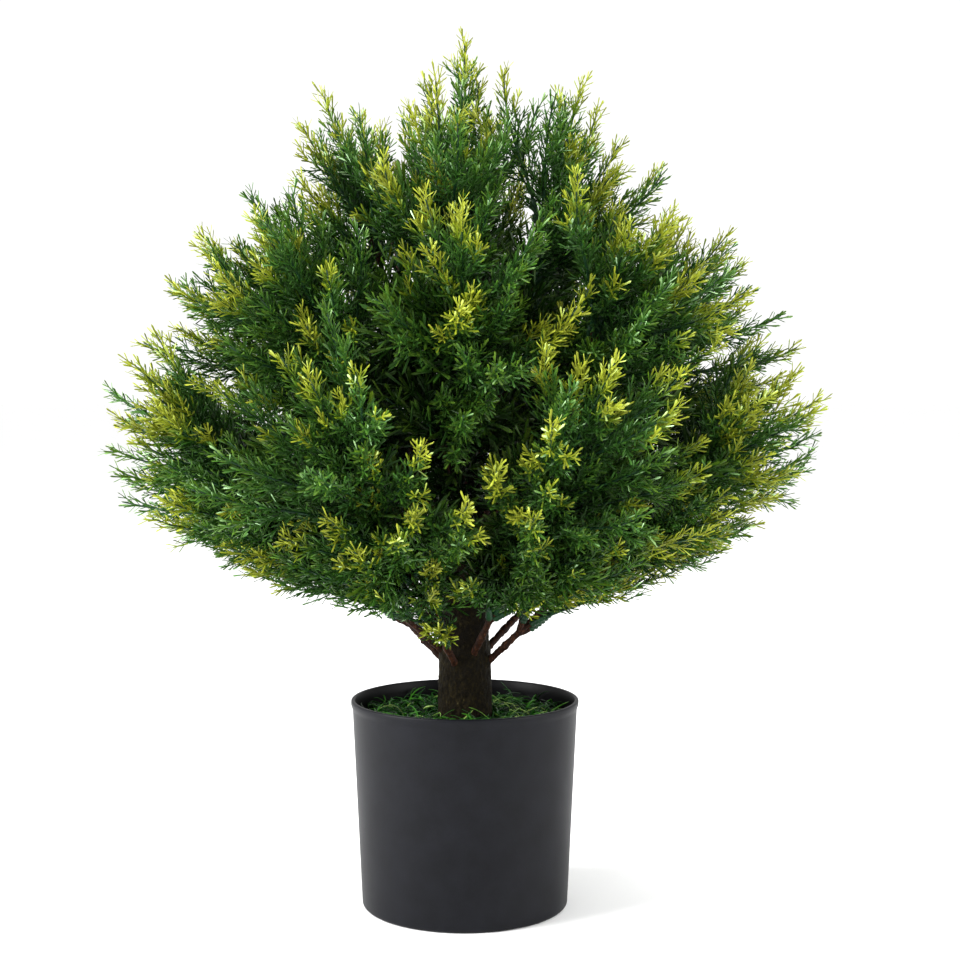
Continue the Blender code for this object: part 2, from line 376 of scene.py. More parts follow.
def stem_look():
    look = Look("stem_bark")
    grain = look.noise(420.0, 5.0, 0.7, (1, 1, 0.45))
    look.colour(
        look.ramp(
            grain,
            ((0.30, linear(14, 8, 4)), (0.52, linear(40, 21, 12)), (0.74, linear(92, 58, 38))),
        )
    )
    look.roughness(look.spread(grain, 0.45, 0.75))
    look.bump(look.noise(700.0, 4.0), 0.0006)
    look.shader.inputs["Specular IOR Level"].default_value = 0.12
    return look.material


def sleeve_look():
    look = Look("spray_sleeve")
    tint = look.noise(110.0, 3.0)
    look.colour(look.ramp(tint, ((0.3, linear(10, 36, 19)), (0.7, linear(26, 62, 34)))))
    look.roughness(look.spread(tint, 0.35, 0.55))
    look.bump(look.noise(900.0, 2.0), 0.0002)
    look.shader.inputs["Specular IOR Level"].default_value = 0.25
    return look.material


def bark_look():
    look = Look("trunk_bark")
    grain = look.noise(520.0, 6.0, 0.7, (1, 1, 0.6))
    patches = look.noise(45.0, 3.0)
    mixed = look.maths("MULTIPLY_ADD", patches, 0.35, grain)
    look.colour(
        look.ramp(
            mixed,
            (
                (0.42, linear(4, 3, 1)),
                (0.66, linear(16, 12, 4)),
                (0.84, linear(38, 32, 14)),
                (0.97, linear(98, 90, 58)),
            ),
        )
    )
    look.roughness(look.spread(grain, 0.5, 0.85))
    look.bump(look.noise(900.0, 4.0, 0.65), 0.0012)
    look.shader.inputs["Specular IOR Level"].default_value = 0.08
    return look.material


def pot_look():
    look = Look("pot_plastic")
    mottle = look.noise(55.0, 4.0)
    plastic = look.ramp(mottle, ((0.3, linear(10, 11, 15)), (0.7, linear(16, 17, 22))))
    # The shade attribute scales the colour: painted shade on the inner wall.
    look.colour(look.scaled(plastic, look.attribute("shade")))
    look.roughness(look.spread(look.noise(24.0, 5.0, 0.6, (1, 1, 0.4)), 0.40, 0.52))
    look.bump(look.noise(1400.0, 2.0), 0.00008)
    look.shader.inputs["Specular IOR Level"].default_value = 0.12
    return look.material


def grass_look():
    look = Look("shredded_grass")
    tone = look.maths("MULTIPLY_ADD", look.noise(90.0), 0.2, look.attribute("tone"))
    dye = look.ramp(
        tone,
        (
            (0.10, linear(5, 32, 4)),
            (0.50, linear(22, 74, 10)),
            (0.85, linear(58, 120, 22)),
            (1.00, linear(160, 190, 96)),
        ),
    )
    # The shade attribute scales the colour: painted shade on the mat, a random factor on the blades.
    look.colour(look.scaled(dye, look.attribute("shade")))
    look.roughness(look.spread(look.noise(300.0), 0.3, 0.5))
    look.bump(look.noise(1800.0, 2.0), 0.00006)
    look.shader.inputs["Specular IOR Level"].default_value = 0.15
    return look.material


def plain_look(name, dark, light, scale, rough, metallic=0.0, bump=0.0003):
    """A hidden filling's material: two colours in a grain of the given scale."""
    look = Look(name)
    grain = look.noise(scale, 5.0, 0.6)
    look.colour(look.ramp(grain, ((0.3, dark), (0.7, light))))
    look.roughness(look.spread(grain, rough - 0.1, rough + 0.05))
    look.shader.inputs["Metallic"].default_value = metallic
    look.bump(grain, bump)
    return look.material


# Branches as the CAD has them -----------------------------------------------------------------------------


def node_points(name):
    mesh = frame["nodes"][name].data
    points = np.empty(len(mesh.vertices) * 3)
    mesh.vertices.foreach_get("co", points)
    return points.reshape(-1, 3)


@dataclass
class Branch:
    name: str
    root: np.ndarray  # where its axis leaves the bark
    axis: np.ndarray
    stem_start: float  # inside the trunk, as a distance from the root along the axis
    stem_end: float
    stem_radius: float
    reach: float
    sprays: list = field(default_factory=list)


def read_branches():
    found = []
    for joint in frame["joints"]:
        name = joint["child"]
        root = np.array(joint["pos_m"], float)
        axis = unit(np.array(joint["axis"], float))
        stem = (node_points(name + "_stem") - root) @ axis
        spray = (node_points(name + "_foliage") - root) @ axis
        peg = node_points(name + "_stem")[stem < stem.min() + 0.002] - root
        thick = np.linalg.norm(peg - np.outer(peg @ axis, axis), axis=1).max()
        found.append(Branch(name, root, axis, stem.min(), stem.max(), thick, spray.max()))
    return found


# Sprays ---------------------------------------------------------------------------------------------------


@dataclass
class Spray:
    """One cedar spray: a path from its branch's stem to its tip, with the share of it that is bare."""

    start: np.ndarray
    leave: np.ndarray  # direction at the stem
    tip: np.ndarray
    aim: np.ndarray  # direction at the tip
    bare: float
    fingers: int
    yellow_from: float  # share of the way to its tips past which needles turn yellow
    # factor on the colour of its needles and twigs: random for outer sprays, 0.9 for inner and low ones; 1.3
    # paints the front spray lighter, as painted light
    shade: float
    coarse: float = 1.0  # size of its needles beside a normal one
    hang: float = 0.0  # how far its leaves may hang below the crown's underside

    def path(self, steps):
        step = np.linalg.norm(self.tip - self.start) * STEM_BEND
        bends = self.start + self.leave * step, self.tip - self.aim * step
        return bezier((self.start, *bends, self.tip), steps)


@dataclass
class Axis:
    """A leafy shoot: places and directions from its root to its tip."""

    places: np.ndarray
    directions: np.ndarray
    first: float  # share of its spray already passed at its root

    @property
    def length(self):
        return np.linalg.norm(np.diff(self.places, axis=0), axis=1).sum()

    def at(self, share):
        row = np.clip(share, 0, 1) * (len(self.places) - 1)
        low = np.minimum(row.astype(int), len(self.places) - 2)
        mix = (row - low)[:, None]
        place = self.places[low] * (1 - mix) + self.places[low + 1] * mix
        return place, unit(self.directions[low] * (1 - mix) + self.directions[low + 1] * mix)


def tilted(direction, degrees):
    """A direction leaned by a random angle of about this size."""
    return unit(direction + rng.normal(size=3) * math.tan(math.radians(degrees)) * 0.6)


def crown_point(elevation, azimuth, share):
    level = np.array((math.cos(azimuth), math.sin(azimuth), 0.0))
    slope = math.radians(elevation)
    direction = level * math.cos(slope) + np.array((0, 0, math.sin(slope)))
    return CROWN_CENTRE + direction * between(CROWN_OUTLINE, elevation) * share


def crown_tips(count, depth, spread, lowest):
    """Points spread evenly over the crown, each somewhere between depth and depth + spread of its outline."""
    elevations = np.linspace(lowest, 90, 200)
    share = np.cumsum(np.cos(np.radians(elevations)) * between(CROWN_OUTLINE, elevations) ** 2)
    share = (share - share[0]) / (share[-1] - share[0])
    turn = rng.uniform(0, 2 * math.pi)
    tips = []
    for number in range(count):
        elevation = np.interp((number + rng.uniform(0.2, 0.8)) / count, share, elevations)
        azimuth = turn + number * GOLDEN_ANGLE + rng.normal(0, 0.05)
        tip = crown_point(elevation, azimuth, depth + spread * rng.uniform())
        tip[2] = max(tip[2], underside(tip[None])[0] + rng.uniform(0.004, 0.016))
        tips.append(tip)
    return tips


def attach(branches, tip, reach):
    """The branch that a spray grows from, and how far out along its stem, for the shortest natural way."""

    def way(branch):
        along = (tip - branch.root) @ branch.axis
        off = np.linalg.norm(tip - branch.root - branch.axis * along)
        first, last = min(FIRST_PEG, branch.stem_end), branch.stem_end - LAST_PEG
        out = float(np.clip(along - reach - 0.25 * off, first, last))
        start = branch.root + branch.axis * out
        bend = 1 - unit(tip - start) @ branch.axis
        return np.linalg.norm(tip - start) + 0.10 * bend + 0.002 * len(branch.sprays), out

    best = min(branches, key=lambda branch: way(branch)[0])
    return best, way(best)[1]


def add_side_spray(branches, tip, reach, bare, fingers, yellow_from, shade, coarse=1.0):
    branch, out = attach(branches, tip, reach)
    start = branch.root + branch.axis * out
    straight = unit(tip - start)
    leave = unit(straight + 0.5 * branch.axis)
    aim = tilted(unit(0.6 * straight + 0.6 * unit(tip - SPRAY_ORIGIN)), 9)
    branch.sprays.append(Spray(start, leave, tip, aim, bare, fingers, yellow_from, shade, coarse))


def add_low_sprays(branch):
    """Short sprays close to the trunk, whose pegs and ribbed sleeves show under the crown."""
    turn = rng.uniform(0, 2 * math.pi)
    for number in range(LOW_SPRAYS):
        start = branch.root + branch.axis * rng.uniform(0.026, 0.058)
        side = turned(across(branch.axis), branch.axis[None], np.array([turn + number * GOLDEN_ANGLE]))[0]
        leave = unit(branch.axis + 0.8 * side + np.array((0, 0, 0.2)))
        aim = unit(branch.axis + 0.35 * side + np.array((0, 0, 0.35)))
        tip = start + aim * rng.uniform(0.070, 0.100)
        yellow_from = rng.choice((0.8, NEVER_YELLOW))
        branch.sprays.append(
            Spray(start, leave, tip, aim, 0.36, 2, yellow_from=yellow_from, shade=0.9, hang=0.010)
        )


def add_front_spray(branches):
    """The one yellow spray that hangs before the trunk."""
    azimuth, reach, height = FRONT_SPRAY
    level = np.array((math.cos(azimuth), math.sin(azimuth), 0.0))
    tip = level * reach + np.array((0, 0, height))
    low = [branch for branch in branches if branch.root[2] < LOW_BRANCHES_BELOW]
    branch = max(low, key=lambda branch: branch.axis @ level)
    start = branch.root + branch.axis * 0.014
    leave, aim = unit(level + np.array((0, 0, 1.6))), unit(level + np.array((0, 0, 0.5)))
    # shade=1.3 is painted light, lifting this spray above the painted shade it gets inside the crown.
    branch.sprays.append(
        Spray(start, leave, tip, aim, bare=0.30, fingers=3, yellow_from=0.40, shade=1.3, hang=0.05)
    )


def place_sprays(branches):
    """A spray at each branch's end, sprays over the whole crown, a few low ones, and coarser ones inside."""
    for branch in branches:
        start = branch.root + branch.axis * (branch.stem_end - 0.006)
        tip = branch.root + branch.axis * (branch.reach - 0.008)
        yellow_from = rng.uniform(0.6, 0.8)
        branch.sprays.append(
            Spray(start, branch.axis, tip, branch.axis, 0.16, 3, yellow_from=yellow_from, shade=1.0)
        )
    taken = [branch.sprays[0].tip for branch in branches]
    for tip in crown_tips(OUTER_SPRAYS, 0.84, 0.16, LOWEST_SPRAY):
        if min(np.linalg.norm(tip - other) for other in taken) < SPRAY_GAP:
            continue
        yellow_from = rng.choice(YELLOW_STARTS, p=YELLOW_CHANCES)
        add_side_spray(branches, tip, 0.085, 0.20, 2, yellow_from, rng.uniform(0.8, 1.15))
    for branch in branches:
        if branch.root[2] < LOW_BRANCHES_BELOW:
            add_low_sprays(branch)
    add_front_spray(branches)
    for tip in crown_tips(INNER_SPRAYS, 0.34, 0.48, LOWEST_INNER_SPRAY):
        add_side_spray(branches, tip, 0.05, 0.10, 3, NEVER_YELLOW, 0.9, INNER_COARSENESS)


def finger_axes(spray):
    """The leafy shoots of a spray: its own stem past the bare part, and the fingers that fork from it."""
    places, directions = spray.path(40)
    bare = int(0.7 * spray.bare * 39)
    axes = [Axis(places[bare:], directions[bare:], 0.0)]
    main = axes[0]
    turn = rng.uniform(0, 2 * math.pi)
    for number in range(spray.fingers):
        share = 0.05 + 0.50 * (number + rng.uniform(0.1, 0.9)) / spray.fingers
        root, forward = (v[0] for v in main.at(np.array([share])))
        out = turned(across(forward), forward[None], np.array([turn + number * GOLDEN_ANGLE]))[0]
        angle = math.radians(rng.uniform(20, 34))
        leave = forward * math.cos(angle) + out * math.sin(angle)
        length = main.length * (1.02 - share) * rng.uniform(0.50, 0.78)
        end = root + unit(leave + 0.35 * forward) * length
        curve = root, root + leave * length * 0.35, end - unit(leave + forward) * length * 0.3, end
        axes.append(Axis(*bezier(curve, 16), 0.30 * (1 - share)))
    return axes


def underside(places):
    """Height of the crown's underside. A twig hangs below it only as far as its spray's hang."""
    reach = np.hypot(places[:, 0], places[:, 1])
    return UNDERSIDE + np.maximum(reach - UNDERSIDE_FLAT, 0) * UNDERSIDE_SLOPE


def grow_twigs(axis, coarse, hang):
    """Roots, start directions, end directions, lengths and spray shares of the twigs along a shoot."""
    length = axis.length
    count = max(int(length / (TWIG_STEP * coarse)), 3)
    share = (np.arange(count) + rng.uniform(0.25, 0.75, count)) / count * 0.96 + 0.02
    root, forward = axis.at(share)
    turn = rng.uniform(0, ANY_ROLL) + np.arange(count) * GOLDEN_ANGLE + rng.normal(0, 0.3, count)
    out = turned(across(forward), forward, turn)
    angle = np.radians(np.interp(share, (0, 1), TWIG_ANGLES) + rng.normal(0, 5, count))
    leave = forward * np.cos(angle)[:, None] + out * np.sin(angle)[:, None]
    taper = np.interp(share, (0, 0.4, 1), (0.95, 1.05, 0.5))
    size = TWIG_LENGTH * np.minimum(taper, 0.4 + 20 * length * (1 - share))
    size = size * math.sqrt(coarse) * rng.uniform(0.8, 1.2, count)
    end = root + leave * size[:, None]
    keep = end[:, 2] > underside(end) - hang + rng.uniform(-0.006, 0.008, count)
    share = axis.first + (1 - axis.first) * share
    return tuple(values[keep] for values in (root, leave, forward, size, share))


def grow_needles(root, leave, forward, length, coarse):
    """Pairs of needles along twigs, and one at each twig's end. A twig bends from leave towards forward."""
    twigs = len(root)
    step = NEEDLE_STEP * coarse
    number = np.arange(int(length.max() / step) + 1)
    share = (number[None, :] + 0.55) * step / length[:, None] + rng.normal(0, 0.03, (twigs, len(number)))
    twig, pair = np.nonzero((share > 0.1) & (share < 0.96))
    s = share[twig, pair][:, None]
    change = (forward - leave) * TWIG_CURL
    place = root[twig] + length[twig][:, None] * (s * leave[twig] + 0.5 * s**2 * change[twig])
    heading = unit(leave[twig] + s * change[twig])
    plane = rng.uniform(0, ANY_ROLL, twigs)[twig] + pair * math.radians(80) + rng.normal(0, 0.3, len(twig))
    side = turned(across(heading), heading, plane)
    spread = np.radians(np.interp(s[:, 0], (0, 1), NEEDLE_ANGLES) + rng.normal(0, 6, len(twig)))
    needles = []
    for sign in (1, -1):
        along = heading * np.cos(spread)[:, None] + sign * side * np.sin(spread)[:, None]
        size = NEEDLE_LENGTH * (1.06 - 0.14 * s[:, 0]) * rng.uniform(0.8, 1.2, len(twig))
        needles.append((place, along, heading, size, twig, s[:, 0]))
    end = root + length[:, None] * (leave + 0.5 * change)
    heading = unit(leave + change)
    size = NEEDLE_LENGTH * rng.uniform(0.75, 1.0, twigs)
    needles.append((end - heading * 0.001, heading, heading, size, np.arange(twigs), np.ones(twigs)))
    return tuple(np.concatenate(parts) for parts in zip(*needles))


def needle_shapes(place, along, heading, size, width, tone, shade):
    """Closed three-sided needles: ridged on top, parallel-sided, cut to a point at the end."""
    side = unit(np.cross(along, heading) + rng.normal(0, 0.02, along.shape))
    other = np.cross(side, along)
    half = 0.5 * width[:, None]
    lift = heading - along
    points = []
    for across_, up in NEEDLE_CORNERS:
        points.append(place + 0.62 * half * (across_ * side + up * other))
    shoulder = place + along * (NEEDLE_SHOULDER * size)[:, None] + lift * (0.10 * size)[:, None]
    points.append(place + along * size[:, None] + lift * (0.16 * size)[:, None])
    for across_, up in NEEDLE_CORNERS[1:]:
        points.append(shoulder + half * (across_ * side + up * other))
    points = np.stack(points, axis=1)
    triangles = np.array(NEEDLE_FACES)[None] + 6 * np.arange(len(place))[:, None, None]
    tones = tone[:, None] + np.array((-0.05, -0.05, -0.05, 0.07, 0.03, 0.03))[None]
    shades = shade[:, None] * np.array((0.85, 0.85, 0.85, 1.05, 1, 1))[None]
    return points.reshape(-1, 3), triangles.reshape(-1, 3), tones.ravel(), shades.ravel()


def twig_shapes(root, leave, forward, length, tone, shade):
    """Closed three-sided twigs."""
    change = (forward - leave) * TWIG_CURL
    side = across(leave)
    other = np.cross(leave, side)
    rings = []
    for share, thick in ((0.0, 1.2), (0.5, 1.0), (1.0, 0.8)):
        centre = root + length[:, None] * (share * leave + 0.5 * share**2 * change)
        for angle in (0, 2 * math.pi / 3, 4 * math.pi / 3):
            rings.append(centre + TWIG_RADIUS * thick * (side * math.cos(angle) + other * math.sin(angle)))
    points = np.stack(rings, axis=1)
    around = [(i * 3 + j, i * 3 + (j + 1) % 3) for i in range(2) for j in range(3)]
    pattern = [(a, b, b + 3) for a, b in around] + [(a, b + 3, a + 3) for a, b in around]
    pattern += [(0, 2, 1), (6, 7, 8)]
    triangles = np.array(pattern)[None] + 9 * np.arange(len(root))[:, None, None]
    return points.reshape(-1, 3), triangles.reshape(-1, 3), np.repeat(tone, 9), np.repeat(shade, 9)


def tone_of(spray, share):
    """How far a point has turned from bluish green, 0, to yellow, 1, by its share of the way to the tips."""
    yellow = np.clip((share - spray.yellow_from) / 0.24, 0, 1)
    return 0.10 + 0.26 * np.clip(share, 0, 1) + 0.60 * yellow


def painted_crown_shade(places):
    """Painted shade and light: a factor for a needle's colour by how far out it sits, darkest inside the
    crown and lighter than its dye near the outline.
    """
    offset = places - CROWN_CENTRE
    reach = np.linalg.norm(offset, axis=1)
    elevation = np.degrees(np.arcsin(np.clip(offset[:, 2] / reach, -1, 1)))
    return np.interp(reach / between(CROWN_OUTLINE, elevation), (0.35, 0.72, 0.95), (0.30, 0.70, 1.20))


def add_spray(green, tips, spray):
    grown = [grow_twigs(axis, spray.coarse, spray.hang) for axis in finger_axes(spray)]
    root, leave, forward, length, axis_share = (np.concatenate(parts) for parts in zip(*grown))
    if not len(root):
        return
    place, along, heading, size, twig, twig_share = grow_needles(root, leave, forward, length, spray.coarse)
    share = axis_share[twig] + 0.22 * twig_share
    tone = tone_of(spray, share) + rng.normal(0, 0.05, len(place))
    # Colour factor: the spray's own, a random one whose brightest needles become painted glints, and painted
    # shade inside the crown with painted light at its outline.
    shade = spray.shade * np.exp(rng.normal(-0.04, 0.30, len(place))) * painted_crown_shade(place)
    width = NEEDLE_WIDTH * spray.coarse * rng.uniform(0.85, 1.15, len(place))
    needles = place, unit(along), heading, size * spray.coarse, width, tone, shade
    twig_tone = tone_of(spray, axis_share + 0.1) - 0.05
    # Twigs take the painted shade inside the crown and the painted light at its outline too.
    twigs = root, leave, forward, length, twig_tone, 0.85 * spray.shade * painted_crown_shade(root)
    for soup, low, high in ((green, -9, YELLOW_PIECE_FROM), (tips, YELLOW_PIECE_FROM, 9)):
        for values, shapes in ((needles, needle_shapes), (twigs, twig_shapes)):
            chosen = (values[-2] >= low) & (values[-2] < high)
            if chosen.any():
                points, triangles, tones, shades = shapes(*(v[chosen] for v in values))
                soup.add(points, triangles, 0, tones, shades)


# Stems and sleeves ----------------------------------------------------------------------------------------


def knobbly(steps, sides, radii, amount):
    """Radii of a moulded, bark-like stem: every corner a little out of true."""
    return np.asarray(radii)[:, None] * (1 + amount * rng.normal(size=(steps, sides)))


def straight(start, end, steps):
    share = np.linspace(0, 1, steps)[:, None]
    return start + (end - start) * share, np.repeat(unit(end - start)[None], steps, axis=0)


def add_stem(soup, branch):
    """The main stem: straight along the hinge's axis, with a swelling every few centimetres."""
    start = branch.root + branch.axis * branch.stem_start
    end = branch.root + branch.axis * branch.stem_end
    steps = int((branch.stem_end - branch.stem_start) / 0.0016)
    places, directions = straight(start, end, steps)
    along = np.linspace(branch.stem_start, branch.stem_end, steps)
    radii = branch.stem_radius * np.interp(along, (0, branch.stem_end), (0.96, 0.62))
    from_knob = along % KNOB_SPACING - KNOB_SPACING / 2
    radii *= 1 + KNOB_SWELL * np.exp(-(from_knob**2) / KNOB_LENGTH**2) * (along > 0.006)
    soup.add(*tube(places, directions, knobbly(steps, 9, radii, 0.085), 9))


def add_shoot(soup, spray):
    """The stem of a spray: brown where it leaves the branch, then a ribbed green sleeve, then a thin stem."""
    places, directions = spray.path(60)
    bare = max(int(spray.bare * 59), 6)
    brown = max(int(bare * 0.4), 3)
    radii = np.linspace(*SHOOT_RADII, brown + 2)
    soup.add(*tube(places[: brown + 2], directions[: brown + 2], knobbly(brown + 2, 7, radii, 0.10), 7))
    sleeve = Axis(places[brown : bare + 4], directions[brown : bare + 4], 0.0)
    seen = spray.start[2] < SLEEVES_SEEN_BELOW
    ribs = max(int(sleeve.length / (SLEEVE_RIB if seen else 3 * SLEEVE_RIB)), 2)
    radii = np.tile(SLEEVE_RIBS, ribs) * np.linspace(1.0, 0.72, ribs * len(SLEEVE_RIBS))
    sides = 10 if seen else 5
    soup.add(*tube(*sleeve.at(np.linspace(0, 1, len(radii))), radii, sides), slot=1)
    rest = places[bare::6], directions[bare::6]
    soup.add(*tube(*rest, np.linspace(*SHOOT_CORE, len(rest[0])), 4), slot=1)


# Trunk, pot and grass -------------------------------------------------------------------------------------


def trunk_outline(low, high):
    """(height, radius) pairs of the CAD trunk's outside, felt from all round so that sockets don't count."""
    outline = []
    trunk = frame["nodes"]["trunk"]
    for z in np.linspace(low.z + 0.001, high.z - 0.001, 40):
        reach = []
        for angle in np.linspace(0, 2 * math.pi, 25)[:-1]:
            outward = Vector((math.cos(angle), math.sin(angle), 0))
            hit, place, _, _ = trunk.ray_cast(outward * 0.05 + Vector((0, 0, z)), -outward)
            if hit:
                reach.append(math.hypot(place.x, place.y))
        outline.append((z, max(reach)))
    return outline


def make_trunk(branches, look):
    """Moulded bark over the CAD trunk's taper, swollen round each branch socket."""
    low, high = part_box("trunk")
    outline = trunk_outline(low, high)
    fine, coarse = np.linspace(low.z, BARK_SEEN_BELOW, 150), np.linspace(BARK_SEEN_BELOW, high.z, 90)
    heights = np.concatenate([fine, coarse[1:]])
    rings, sides = len(heights), BARK_SIDES
    roots = np.array([branch.root for branch in branches])
    shell = np.empty((rings, sides, 3))
    for i, z in enumerate(heights):
        radius = between(outline, z)
        for j, angle in enumerate(np.arange(sides) * 2 * math.pi / sides):
            x, y = math.cos(angle), math.sin(angle)
            place = Vector((x * radius, y * radius, z))
            flakes = noise.hetero_terrain(Vector((place.x, place.y, 0.7 * z)) * 420, 0.8, 2.1, 3, 0.4)
            waves = noise.noise(place * 70)
            knots = np.exp(-np.sum((roots - np.array(place)) ** 2, axis=1) / 0.0040**2).sum()
            bark = radius - 0.0003 + 0.0006 * flakes + 0.0005 * waves + 0.0015 * min(knots, 1.0)
            shell[i, j] = (x * bark, y * bark, z)
    soup = Soup()
    ends = np.array([(0, 0, low.z), (0, 0, high.z)])
    soup.add(np.concatenate([shell.reshape(-1, 3), ends]), tube_triangles(rings, sides))
    trunk = soup.piece("trunk_bark", [look])
    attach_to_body(trunk, "planter")
    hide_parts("trunk")


def make_pot(look):
    """The moulded pot: rounded foot, plain tapered wall and a thin, slightly proud lip."""
    low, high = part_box("pot")
    lip, top = high.x, high.z
    points = node_points("pot")
    reach = np.hypot(points[:, 0], points[:, 1])
    wall_top = reach[(points[:, 2] > 0.5 * top) & (points[:, 2] < top - 0.0043)].max()
    foot = reach[points[:, 2] < 0.0035].max()
    edge, wall, floor = 0.0030, 0.0016, 0.0024
    under_lip = top - 0.0075
    rounding = [
        (foot - edge * (1 - math.sin(a)), edge * (1 - math.cos(a))) for a in np.linspace(0, math.pi / 2, 9)
    ]
    side = [(foot + (wall_top - foot) * s, edge + (under_lip - edge) * s) for s in np.linspace(0, 1, 24)[1:]]
    swell = [(s * s * (3 - 2 * s), s) for s in np.linspace(0, 1, 9)[1:]]
    lip_curve = [
        *((wall_top + (lip - wall_top) * out, under_lip + 0.005 * up) for out, up in swell),
        (lip, top - 0.0012),
        (lip - 0.0002, top - 0.0005),
        (lip - 0.0006, top - 0.0001),
        (lip - 0.0010, top),
        (wall_top - wall + 0.0004, top - 0.0001),
        (wall_top - wall, top - 0.0006),
    ]
    inner = [(r - wall, z) for r, z in reversed(side)]
    recess = [(0, 0.0009), (foot - 0.011, 0.0009), (foot - 0.0095, 0.0002), (foot - 0.0085, 0.0)]
    outline = [*recess, *rounding, *side, *lip_curve, *inner, (foot - wall - 0.001, floor), (0, floor)]
    soup = Soup()
    shell, triangles = lathe(outline, 144)
    out = np.hypot(shell[:, 0], shell[:, 1])
    # Painted shade: the inner wall's colour is darkened by POT_INSIDE_SHADE.
    inside = (out < between([(z, r) for r, z in side], shell[:, 2]) - wall / 2) & (shell[:, 2] > wall)
    soup.add(shell, triangles, 0, 0.5, np.where(inside, POT_INSIDE_SHADE, 1.0))
    pot = soup.piece("pot_shell", [look])
    pot.data.set_sharp_from_angle(angle=math.radians(50))
    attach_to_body(pot, "planter")
    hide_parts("pot")


def make_grass(look):
    """Shredded plastic grass: a lumpy mat and long curling blades laid over it."""
    low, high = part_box("grass_mat")
    _, trunk_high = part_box("trunk")
    hole, wall = trunk_high.x + 0.0004, high.x - 0.0006
    soup = Soup()
    rings, sides = 16, 96
    top = []
    for i in range(rings):
        reach = hole + (wall - hole) * i / (rings - 1)
        for j in range(sides):
            angle = j * 2 * math.pi / sides
            x, y = reach * math.cos(angle), reach * math.sin(angle)
            lump = noise.fractal(Vector((x, y, 0)) * 120, 1.0, 2.0, 3)
            top.append((x, y, low.z + 0.0088 + 0.0026 * lump))
    mat = np.array(top)
    under = mat.reshape(rings, sides, 3)[::-1].copy()
    under[..., 2] = low.z
    shell = np.concatenate([mat, under.reshape(-1, 3)])
    # Painted shade: the mat's colour is scaled to 0.2, standing for the shade between and under the blades.
    soup.add(shell, ring_triangles(2 * rings, sides), 0, 0.05, 0.2)
    for _ in range(GRASS_BLADES):
        add_blade(soup, low.z, hole, wall)
    grass = soup.piece("grass_blades", [look])
    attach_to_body(grass, "planter")
    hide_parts("grass_mat")


def ring_triangles(rows, sides):
    """Triangles of a closed ring-shaped shell of that many rows of points."""
    i, j = np.meshgrid(np.arange(rows), np.arange(sides), indexing="ij")
    a = (i * sides + j).ravel()
    b = (i * sides + (j + 1) % sides).ravel()
    c = ((i + 1) % rows * sides + j).ravel()
    d = ((i + 1) % rows * sides + (j + 1) % sides).ravel()
    return np.concatenate([np.stack([a, c, d], axis=1), np.stack([a, d, b], axis=1)])


def add_blade(soup, floor, hole, wall):
    """A blade that rises from the mat, curls and droops, and stays between the trunk and the pot."""
    steps = 6
    reach = math.sqrt(rng.uniform((hole + 0.002) ** 2, (wall - 0.003) ** 2))
    angle = rng.uniform(0, 2 * math.pi)
    place = np.array((reach * math.cos(angle), reach * math.sin(angle), floor + rng.uniform(0.006, 0.012)))
    heading = rng.uniform(0, 2 * math.pi)
    rise = math.radians(rng.uniform(8, 62))
    curl, droop = rng.normal(0, 0.45), rng.uniform(0.15, 0.65)
    step = BLADE_LENGTH * rng.uniform(0.5, 1.15) / (steps - 1)
    path = [place]
    for _ in range(steps - 1):
        move = np.array(
            (math.cos(heading) * math.cos(rise), math.sin(heading) * math.cos(rise), math.sin(rise))
        )
        place = place + move * step
        out = math.hypot(place[0], place[1])
        limit = min(max(out, hole + 0.0012), wall - 0.0012)
        place[:2] *= limit / max(out, 1e-6)
        place[2] = max(place[2], floor + 0.006)
        path.append(place)
        heading += curl
        rise -= droop
    path = np.array(path)
    directions = unit(np.gradient(path, axis=0))
    side = unit(np.cross(directions, (0, 0, 1)) + 1e-6)
    up = np.cross(side, directions)
    roll = rng.normal(0, 0.5)
    side, up = side * math.cos(roll) + up * math.sin(roll), up * math.cos(roll) - side * math.sin(roll)
    half = BLADE_WIDTH * rng.uniform(0.35, 0.65) * np.array((0.8, 1, 1, 0.95, 0.75, 0.3))[:, None]
    edge, ridge = side * half, up * BLADE_THICKNESS
    corners = np.stack([path + edge, path + ridge, path - edge, path - ridge], axis=1)
    points = np.concatenate([corners.reshape(-1, 3), path[:1], path[-1:]])
    tone = rng.choice((0.1, 0.35, 0.6, 0.85), p=(0.3, 0.38, 0.26, 0.06)) + rng.normal(0, 0.05)
    soup.add(points, tube_triangles(steps, 4), 0, tone, rng.uniform(0.6, 1.1))


# Stage ----------------------------------------------------------------------------------------------------


def make_floor():
    soup = Soup()
    soup.add(*lathe([(0, -0.01), (30.0, -0.01), (30.0, 0.0), (0, 0.0)], 64))
    floor = soup.piece("floor", [floor_look()], smooth=False)


def floor_look():
    look = Look("studio_floor")
    grain = look.noise(3.0, 2.0)
    look.colour(look.ramp(grain, ((0.3, (0.93, 0.93, 0.93)), (0.7, (0.95, 0.95, 0.95)))))
    look.roughness(look.spread(grain, 0.65, 0.75))
    look.bump(look.noise(400.0, 3.0), 0.0001)
    return look.material


def area_light(name, place, target, size, power):
    light = bpy.data.lights.new(name, "AREA")
    light.shape = "RECTANGLE"
    light.size, light.size_y = size
    light.energy = power
    made = bpy.data.objects.new(name, light)
    made.location = place
    made.rotation_euler = (Vector(target) - Vector(place)).to_track_quat("-Z", "Y").to_euler()
    bpy.context.scene.collection.objects.link(made)


